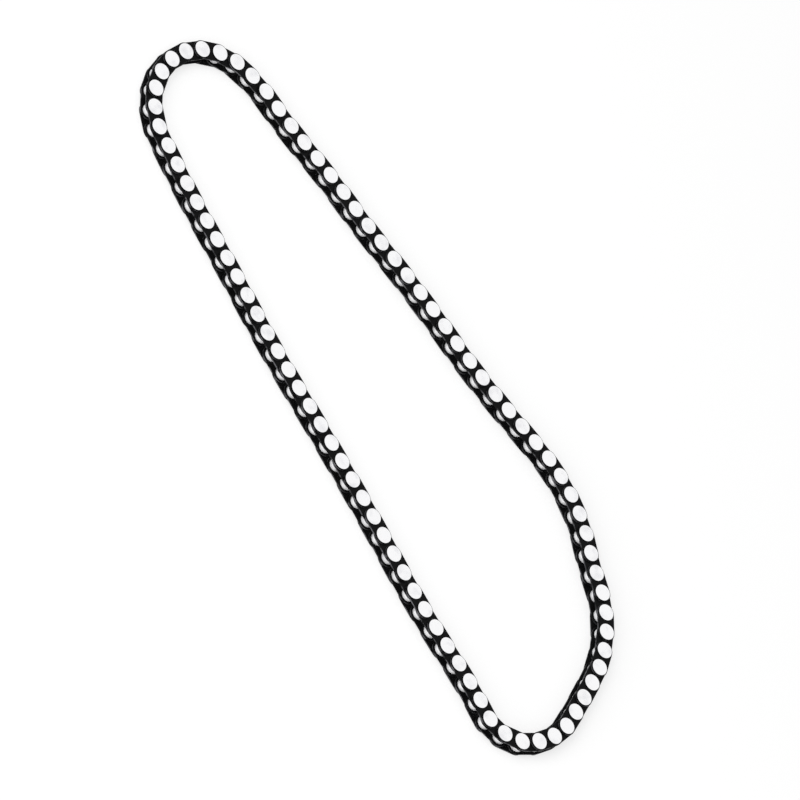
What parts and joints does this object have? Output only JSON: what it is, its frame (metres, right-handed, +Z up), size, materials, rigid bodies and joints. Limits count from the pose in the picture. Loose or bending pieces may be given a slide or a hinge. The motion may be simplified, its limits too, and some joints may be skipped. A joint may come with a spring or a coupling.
{
  "type": "endless roller chain",
  "caption": "Endless riveted roller chain lying flat on its side as a long closed loop, with straight-sided black plates and wide bright pin heads; carries power between sprockets",
  "frame": {"origin": "middle of the outline on the surface the loop lies on", "axes": "+X along the length of the loop towards its broad end, +Y across it, +Z up along every pin, with the pin heads on top"},
  "size_m": [0.3004, 0.1026, 0.0062],
  "materials": {
    "black_plate": "black oxide, lightly oiled",
    "bright_steel": "polished"
  },
  "bodies": {
    "outer_link_00": {"outer_link_00": "black_plate"},
    "inner_link_01": {"inner_link_01": "black_plate"},
    "outer_link_02": {"outer_link_02": "black_plate"},
    "inner_link_03": {"inner_link_03": "black_plate"},
    "outer_link_04": {"outer_link_04": "black_plate"},
    "inner_link_05": {"inner_link_05": "black_plate"},
    "link_pair_06": {"link_pair_06": "black_plate"},
    "link_pair_08": {"link_pair_08": "black_plate"},
    "link_pair_10": {"link_pair_10": "black_plate"},
    "link_pair_12": {"link_pair_12": "black_plate"},
    "link_pair_14": {"link_pair_14": "black_plate"},
    "link_pair_16": {"link_pair_16": "black_plate"},
    "opened_outer_link": {"outer_plate_near": "black_plate", "outer_plate_far": "black_plate", "headed_pin_a": "bright_steel", "headed_pin_b": "bright_steel", "pin_washers": "bright_steel"},
    "opened_inner_link": {"inner_plate_near": "black_plate", "inner_plate_far": "black_plate", "bush_a": "bright_steel", "bush_b": "bright_steel"},
    "link_pair_20": {"link_pair_20": "black_plate"},
    "link_pair_22": {"link_pair_22": "black_plate"},
    "link_pair_24": {"link_pair_24": "black_plate"},
    "link_pair_26": {"link_pair_26": "black_plate"},
    "link_pair_28": {"link_pair_28": "black_plate"},
    "link_pair_30": {"link_pair_30": "black_plate"},
    "link_pair_32": {"link_pair_32": "black_plate"},
    "link_pair_34": {"link_pair_34": "black_plate"},
    "outer_link_36": {"outer_link_36": "black_plate"},
    "inner_link_37": {"inner_link_37": "black_plate"},
    "outer_link_38": {"outer_link_38": "black_plate"},
    "inner_link_39": {"inner_link_39": "black_plate"},
    "outer_link_40": {"outer_link_40": "black_plate"},
    "inner_link_41": {"inner_link_41": "black_plate"},
    "link_pair_42": {"link_pair_42": "black_plate"},
    "link_pair_44": {"link_pair_44": "black_plate"},
    "link_pair_46": {"link_pair_46": "black_plate"},
    "link_pair_48": {"link_pair_48": "black_plate"},
    "link_pair_50": {"link_pair_50": "black_plate"},
    "link_pair_52": {"link_pair_52": "black_plate"},
    "link_pair_54": {"link_pair_54": "black_plate"},
    "link_pair_56": {"link_pair_56": "black_plate"},
    "link_pair_58": {"link_pair_58": "black_plate"},
    "link_pair_60": {"link_pair_60": "black_plate"},
    "link_pair_62": {"link_pair_62": "black_plate"},
    "link_pair_64": {"link_pair_64": "black_plate"},
    "link_pair_66": {"link_pair_66": "black_plate"},
    "link_pair_68": {"link_pair_68": "black_plate"},
    "link_pair_70": {"link_pair_70": "black_plate"},
    "link_pair_72": {"link_pair_72": "black_plate"},
    "link_pair_74": {"link_pair_74": "black_plate"},
    "link_pair_76": {"link_pair_76": "black_plate"},
    "link_pair_78": {"link_pair_78": "black_plate"},
    "outer_link_80": {"outer_link_80": "black_plate"},
    "inner_link_81": {"inner_link_81": "black_plate"},
    "outer_link_82": {"outer_link_82": "black_plate"},
    "inner_link_83": {"inner_link_83": "black_plate"},
    "roller_a": {"roller_a": "bright_steel"},
    "roller_b": {"roller_b": "bright_steel"}
  },
  "joints": [
    {"name": "loop_sway", "type": "hinge", "parent": "link_pair_24", "child": "link_pair_26", "pos_m": [0.0401, -0.04315, 0.0032], "axis": [0, 0, 1], "range_deg": [-4.91, 4.91]},
    {"name": "pin_28_turn", "type": "hinge", "parent": "link_pair_26", "child": "link_pair_28", "pos_m": [0.05605, -0.0444, 0.0032], "axis": [0, 0, 1], "range_deg": [-5.53, 5.53]},
    {"name": "pin_30_turn", "type": "hinge", "parent": "link_pair_28", "child": "link_pair_30", "pos_m": [0.072, -0.04565, 0.0032], "axis": [0, 0, 1], "range_deg": [-6.04, 6.04]},
    {"name": "pin_32_turn", "type": "hinge", "parent": "link_pair_30", "child": "link_pair_32", "pos_m": [0.08799, -0.04621, 0.0032], "axis": [0, 0, 1], "range_deg": [-6.46, 6.46]},
    {"name": "pin_34_turn", "type": "hinge", "parent": "link_pair_32", "child": "link_pair_34", "pos_m": [0.10398, -0.04609, 0.0032], "axis": [0, 0, 1], "range_deg": [-6.75, 6.75]},
    {"name": "pin_36_turn", "type": "hinge", "parent": "link_pair_34", "child": "outer_link_36", "pos_m": [0.11997, -0.04679, 0.0032], "axis": [0, 0, 1], "range_deg": [-3.82, 3.82]},
    {"name": "pin_37_turn", "type": "hinge", "parent": "outer_link_36", "child": "inner_link_37", "pos_m": [0.12792, -0.04764, 0.0032], "axis": [0, 0, 1], "range_deg": [-3.42, 3.42]},
    {"name": "pin_38_turn", "type": "hinge", "parent": "inner_link_37", "child": "outer_link_38", "pos_m": [0.13555, -0.04524, 0.0032], "axis": [0, 0, 1], "range_deg": [-3.42, 3.42]},
    {"name": "pin_39_turn", "type": "hinge", "parent": "outer_link_38", "child": "inner_link_39", "pos_m": [0.14159, -0.04, 0.0032], "axis": [0, 0, 1], "range_deg": [-3.66, 3.66]},
    {"name": "pin_40_turn", "type": "hinge", "parent": "inner_link_39", "child": "outer_link_40", "pos_m": [0.14504, -0.03278, 0.0032], "axis": [0, 0, 1], "range_deg": [-3.43, 3.43]},
    {"name": "pin_41_turn", "type": "hinge", "parent": "outer_link_40", "child": "inner_link_41", "pos_m": [0.1465, -0.02491, 0.0032], "axis": [0, 0, 1], "range_deg": [-3.31, 3.31]},
    {"name": "pin_42_turn", "type": "hinge", "parent": "inner_link_41", "child": "link_pair_42", "pos_m": [0.14586, -0.01694, 0.0032], "axis": [0, 0, 1], "range_deg": [-4.8, 4.8]},
    {"name": "pin_44_turn", "type": "hinge", "parent": "link_pair_42", "child": "link_pair_44", "pos_m": [0.14031, -0.00194, 0.0032], "axis": [0, 0, 1], "range_deg": [-7.13, 7.13]},
    {"name": "pin_46_turn", "type": "hinge", "parent": "link_pair_44", "child": "link_pair_46", "pos_m": [0.13395, 0.01275, 0.0032], "axis": [0, 0, 1], "range_deg": [-8.37, 8.37]},
    {"name": "pin_48_turn", "type": "hinge", "parent": "link_pair_46", "child": "link_pair_48", "pos_m": [0.12413, 0.02531, 0.0032], "axis": [0, 0, 1], "range_deg": [-9.25, 9.25]},
    {"name": "pin_50_turn", "type": "hinge", "parent": "link_pair_48", "child": "link_pair_50", "pos_m": [0.11084, 0.03412, 0.0032], "axis": [0, 0, 1], "range_deg": [-8.05, 8.05]},
    {"name": "pin_52_turn", "type": "hinge", "parent": "link_pair_50", "child": "link_pair_52", "pos_m": [0.09589, 0.03981, 0.0032], "axis": [0, 0, 1], "range_deg": [-5.16, 5.16]},
    {"name": "pin_54_turn", "type": "hinge", "parent": "link_pair_52", "child": "link_pair_54", "pos_m": [0.08098, 0.04554, 0.0032], "axis": [0, 0, 1], "range_deg": [-4.84, 4.84]},
    {"name": "pin_56_turn", "type": "hinge", "parent": "link_pair_54", "child": "link_pair_56", "pos_m": [0.06514, 0.04764, 0.0032], "axis": [0, 0, 1], "range_deg": [-3.41, 3.41]},
    {"name": "pin_58_turn", "type": "hinge", "parent": "link_pair_56", "child": "link_pair_58", "pos_m": [0.04926, 0.04599, 0.0032], "axis": [0, 0, 1], "range_deg": [-3.41, 3.41]},
    {"name": "pin_60_turn", "type": "hinge", "parent": "link_pair_58", "child": "link_pair_60", "pos_m": [0.03353, 0.04306, 0.0032], "axis": [0, 0, 1], "range_deg": [-3.41, 3.41]},
    {"name": "pin_62_turn", "type": "hinge", "parent": "link_pair_60", "child": "link_pair_62", "pos_m": [0.01772, 0.04062, 0.0032], "axis": [0, 0, 1], "range_deg": [-3.41, 3.41]},
    {"name": "pin_24_turn", "type": "hinge", "parent": "link_pair_24", "child": "link_pair_22", "pos_m": [0.02413, -0.0421, 0.0032], "axis": [0, 0, 1], "range_deg": [-4.09, 4.09]},
    {"name": "pin_22_turn", "type": "hinge", "parent": "link_pair_22", "child": "link_pair_20", "pos_m": [0.00815, -0.04126, 0.0032], "axis": [0, 0, 1], "range_deg": [-3.42, 3.42]},
    {"name": "pin_20_turn", "type": "hinge", "parent": "link_pair_20", "child": "opened_inner_link", "pos_m": [-0.00783, -0.04064, 0.0032], "axis": [0, 0, 1], "range_deg": [-3.42, 3.42]},
    {"name": "pin_19_turn", "type": "hinge", "parent": "opened_inner_link", "child": "opened_outer_link", "pos_m": [-0.01583, -0.0404, 0.0032], "axis": [0, 0, 1], "range_deg": [-3.42, 3.42]},
    {"name": "pin_18_turn", "type": "hinge", "parent": "opened_outer_link", "child": "link_pair_16", "pos_m": [-0.02382, -0.04005, 0.0032], "axis": [0, 0, 1], "range_deg": [-3.42, 3.42]},
    {"name": "pin_16_turn", "type": "hinge", "parent": "link_pair_16", "child": "link_pair_14", "pos_m": [-0.03979, -0.03901, 0.0032], "axis": [0, 0, 1], "range_deg": [-3.5, 3.5]},
    {"name": "pin_14_turn", "type": "hinge", "parent": "link_pair_14", "child": "link_pair_12", "pos_m": [-0.05572, -0.03751, 0.0032], "axis": [0, 0, 1], "range_deg": [-3.7, 3.7]},
    {"name": "pin_12_turn", "type": "hinge", "parent": "link_pair_12", "child": "link_pair_10", "pos_m": [-0.07165, -0.03606, 0.0032], "axis": [0, 0, 1], "range_deg": [-4.61, 4.61]},
    {"name": "pin_10_turn", "type": "hinge", "parent": "link_pair_10", "child": "link_pair_08", "pos_m": [-0.0876, -0.03481, 0.0032], "axis": [0, 0, 1], "range_deg": [-5.68, 5.68]},
    {"name": "pin_08_turn", "type": "hinge", "parent": "link_pair_08", "child": "link_pair_06", "pos_m": [-0.10352, -0.03319, 0.0032], "axis": [0, 0, 1], "range_deg": [-6.59, 6.59]},
    {"name": "pin_06_turn", "type": "hinge", "parent": "link_pair_06", "child": "inner_link_05", "pos_m": [-0.11937, -0.03101, 0.0032], "axis": [0, 0, 1], "range_deg": [-4.44, 4.44]},
    {"name": "pin_05_turn", "type": "hinge", "parent": "inner_link_05", "child": "outer_link_04", "pos_m": [-0.12726, -0.0297, 0.0032], "axis": [0, 0, 1], "range_deg": [-3.5, 3.5]},
    {"name": "pin_04_turn", "type": "hinge", "parent": "outer_link_04", "child": "inner_link_03", "pos_m": [-0.13446, -0.02621, 0.0032], "axis": [0, 0, 1], "range_deg": [-3.5, 3.5]},
    {"name": "pin_03_turn", "type": "hinge", "parent": "inner_link_03", "child": "outer_link_02", "pos_m": [-0.14036, -0.02081, 0.0032], "axis": [0, 0, 1], "range_deg": [-3.62, 3.62]},
    {"name": "pin_02_turn", "type": "hinge", "parent": "outer_link_02", "child": "inner_link_01", "pos_m": [-0.14449, -0.01396, 0.0032], "axis": [0, 0, 1], "range_deg": [-4, 4]},
    {"name": "pin_01_turn", "type": "hinge", "parent": "inner_link_01", "child": "outer_link_00", "pos_m": [-0.1465, -0.00621, 0.0032], "axis": [0, 0, 1], "range_deg": [-4.05, 4.05]},
    {"name": "pin_00_turn", "type": "hinge", "parent": "outer_link_00", "child": "inner_link_83", "pos_m": [-0.14622, 0.00178, 0.0032], "axis": [0, 0, 1], "range_deg": [-3.66, 3.66]},
    {"name": "pin_83_turn", "type": "hinge", "parent": "inner_link_83", "child": "outer_link_82", "pos_m": [-0.14368, 0.00937, 0.0032], "axis": [0, 0, 1], "range_deg": [-3.54, 3.54]},
    {"name": "pin_82_turn", "type": "hinge", "parent": "outer_link_82", "child": "inner_link_81", "pos_m": [-0.13902, 0.01588, 0.0032], "axis": [0, 0, 1], "range_deg": [-3.34, 3.34]},
    {"name": "pin_81_turn", "type": "hinge", "parent": "inner_link_81", "child": "outer_link_80", "pos_m": [-0.13267, 0.02074, 0.0032], "axis": [0, 0, 1], "range_deg": [-3.42, 3.42]},
    {"name": "pin_80_turn", "type": "hinge", "parent": "outer_link_80", "child": "link_pair_78", "pos_m": [-0.12517, 0.02352, 0.0032], "axis": [0, 0, 1], "range_deg": [-4.73, 4.73]},
    {"name": "pin_78_turn", "type": "hinge", "parent": "link_pair_78", "child": "link_pair_76", "pos_m": [-0.10938, 0.02584, 0.0032], "axis": [0, 0, 1], "range_deg": [-7.28, 7.28]},
    {"name": "pin_76_turn", "type": "hinge", "parent": "link_pair_76", "child": "link_pair_74", "pos_m": [-0.0935, 0.02778, 0.0032], "axis": [0, 0, 1], "range_deg": [-6.14, 6.14]},
    {"name": "pin_74_turn", "type": "hinge", "parent": "link_pair_74", "child": "link_pair_72", "pos_m": [-0.07769, 0.03024, 0.0032], "axis": [0, 0, 1], "range_deg": [-4.9, 4.9]},
    {"name": "pin_72_turn", "type": "hinge", "parent": "link_pair_72", "child": "link_pair_70", "pos_m": [-0.06177, 0.03186, 0.0032], "axis": [0, 0, 1], "range_deg": [-3.83, 3.83]},
    {"name": "pin_70_turn", "type": "hinge", "parent": "link_pair_70", "child": "link_pair_68", "pos_m": [-0.04589, 0.03378, 0.0032], "axis": [0, 0, 1], "range_deg": [-3.42, 3.42]},
    {"name": "pin_68_turn", "type": "hinge", "parent": "link_pair_68", "child": "link_pair_66", "pos_m": [-0.03006, 0.03609, 0.0032], "axis": [0, 0, 1], "range_deg": [-3.42, 3.42]},
    {"name": "pin_66_turn", "type": "hinge", "parent": "link_pair_66", "child": "link_pair_64", "pos_m": [-0.01416, 0.03783, 0.0032], "axis": [0, 0, 1], "range_deg": [-3.41, 3.41]},
    {"name": "roller_a_spin", "type": "hinge", "parent": "opened_inner_link", "child": "roller_a", "pos_m": [-0.01583, -0.0404, 0.0032], "axis": [0, 0, 1], "continuous": true},
    {"name": "roller_b_spin", "type": "hinge", "parent": "opened_inner_link", "child": "roller_b", "pos_m": [-0.00783, -0.04064, 0.0032], "axis": [0, 0, 1], "continuous": true}
  ],
  "couplings": [
    {"joint": "pin_28_turn", "follows": "loop_sway", "ratio": 1.1251},
    {"joint": "pin_30_turn", "follows": "loop_sway", "ratio": 1.229},
    {"joint": "pin_32_turn", "follows": "loop_sway", "ratio": 1.3142},
    {"joint": "pin_34_turn", "follows": "loop_sway", "ratio": 1.3735},
    {"joint": "pin_36_turn", "follows": "loop_sway", "ratio": 0.77674},
    {"joint": "pin_37_turn", "follows": "loop_sway", "ratio": 0.69493},
    {"joint": "pin_38_turn", "follows": "loop_sway", "ratio": 0.69505},
    {"joint": "pin_39_turn", "follows": "loop_sway", "ratio": -0.74493},
    {"joint": "pin_40_turn", "follows": "loop_sway", "ratio": -0.69764},
    {"joint": "pin_41_turn", "follows": "loop_sway", "ratio": -0.67235},
    {"joint": "pin_42_turn", "follows": "loop_sway", "ratio": -0.97602},
    {"joint": "pin_44_turn", "follows": "loop_sway", "ratio": -1.4507},
    {"joint": "pin_46_turn", "follows": "loop_sway", "ratio": -1.7042},
    {"joint": "pin_48_turn", "follows": "loop_sway", "ratio": -1.8833},
    {"joint": "pin_50_turn", "follows": "loop_sway", "ratio": -1.6386},
    {"joint": "pin_52_turn", "follows": "loop_sway", "ratio": -1.0503},
    {"joint": "pin_54_turn", "follows": "loop_sway", "ratio": -0.98401},
    {"joint": "pin_56_turn", "follows": "loop_sway", "ratio": 0.69397},
    {"joint": "pin_58_turn", "follows": "loop_sway", "ratio": 0.6939},
    {"joint": "pin_60_turn", "follows": "loop_sway", "ratio": 0.69398},
    {"joint": "pin_62_turn", "follows": "loop_sway", "ratio": 0.69411},
    {"joint": "pin_24_turn", "follows": "loop_sway", "ratio": -0.83242},
    {"joint": "pin_22_turn", "follows": "loop_sway", "ratio": -0.69587},
    {"joint": "pin_20_turn", "follows": "loop_sway", "ratio": -0.69587},
    {"joint": "pin_19_turn", "follows": "loop_sway", "ratio": -0.69584},
    {"joint": "pin_18_turn", "follows": "loop_sway", "ratio": -0.69575},
    {"joint": "pin_16_turn", "follows": "loop_sway", "ratio": 0.71093},
    {"joint": "pin_14_turn", "follows": "loop_sway", "ratio": 0.75344},
    {"joint": "pin_12_turn", "follows": "loop_sway", "ratio": 0.93836},
    {"joint": "pin_10_turn", "follows": "loop_sway", "ratio": 1.1565},
    {"joint": "pin_08_turn", "follows": "loop_sway", "ratio": 1.3416},
    {"joint": "pin_06_turn", "follows": "loop_sway", "ratio": 0.9036},
    {"joint": "pin_05_turn", "follows": "loop_sway", "ratio": 0.71136},
    {"joint": "pin_04_turn", "follows": "loop_sway", "ratio": 0.71124},
    {"joint": "pin_03_turn", "follows": "loop_sway", "ratio": 0.73556},
    {"joint": "pin_02_turn", "follows": "loop_sway", "ratio": 0.81312},
    {"joint": "pin_01_turn", "follows": "loop_sway", "ratio": 0.82302},
    {"joint": "pin_00_turn", "follows": "loop_sway", "ratio": 0.74373},
    {"joint": "pin_83_turn", "follows": "loop_sway", "ratio": 0.7209},
    {"joint": "pin_82_turn", "follows": "loop_sway", "ratio": 0.67824},
    {"joint": "pin_81_turn", "follows": "loop_sway", "ratio": -0.69589},
    {"joint": "pin_80_turn", "follows": "loop_sway", "ratio": -0.96221},
    {"joint": "pin_78_turn", "follows": "loop_sway", "ratio": -1.4822},
    {"joint": "pin_76_turn", "follows": "loop_sway", "ratio": -1.249},
    {"joint": "pin_74_turn", "follows": "loop_sway", "ratio": -0.99749},
    {"joint": "pin_72_turn", "follows": "loop_sway", "ratio": -0.77802},
    {"joint": "pin_70_turn", "follows": "loop_sway", "ratio": -0.69503},
    {"joint": "pin_68_turn", "follows": "loop_sway", "ratio": -0.69472},
    {"joint": "pin_66_turn", "follows": "loop_sway", "ratio": -0.69447}
  ]
}
